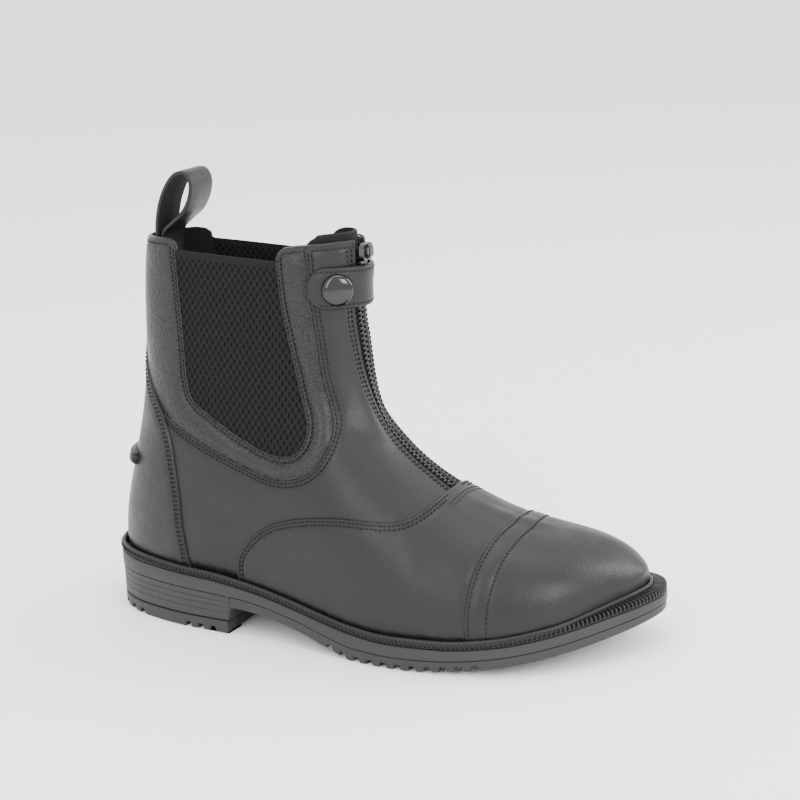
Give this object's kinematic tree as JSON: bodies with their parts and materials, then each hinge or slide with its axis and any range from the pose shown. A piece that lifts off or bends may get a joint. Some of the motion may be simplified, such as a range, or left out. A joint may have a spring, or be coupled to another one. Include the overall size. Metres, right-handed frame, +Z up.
{
  "type": "ankle boot",
  "caption": "Low black leather riding boot with a front zip, elastic side panels, snap strap, heel pull loop, capped toe and a heeled rubber sole, right foot.",
  "frame": {"origin": "middle of the heel's flat tread, on the floor", "axes": "+X to the toe, +Y to the inner side of the foot, +Z up"},
  "size_m": [0.2795, 0.1053, 0.2207],
  "materials": {
    "upper_leather": "semi-matt smooth and grained black leather",
    "elastic": "woven elastic with small staggered holes",
    "sole_rubber": "matt black rubber",
    "lining": "black felt lining",
    "zip_teeth": "dark satin moulded teeth on woven tape",
    "zip_metal": "dark nickel plate",
    "snap_gloss": "glossy black enamel"
  },
  "bodies": {
    "root": {"upper": "upper_leather", "vamp": "upper_leather", "toe_cap": "upper_leather", "heel_counter": "upper_leather", "snap_strap": "upper_leather", "pull_loop": "upper_leather", "spur_rest": "upper_leather", "gusset_outer": "elastic", "gusset_inner": "elastic", "outsole": "sole_rubber", "heel_lift": "sole_rubber", "welt": "sole_rubber", "insole": "lining", "inner_flap": "lining", "zip_chain": "zip_teeth", "zip_slider": "zip_metal", "zip_pull": "zip_metal", "snap_cap": "snap_gloss"}
  },
  "joints": []
}
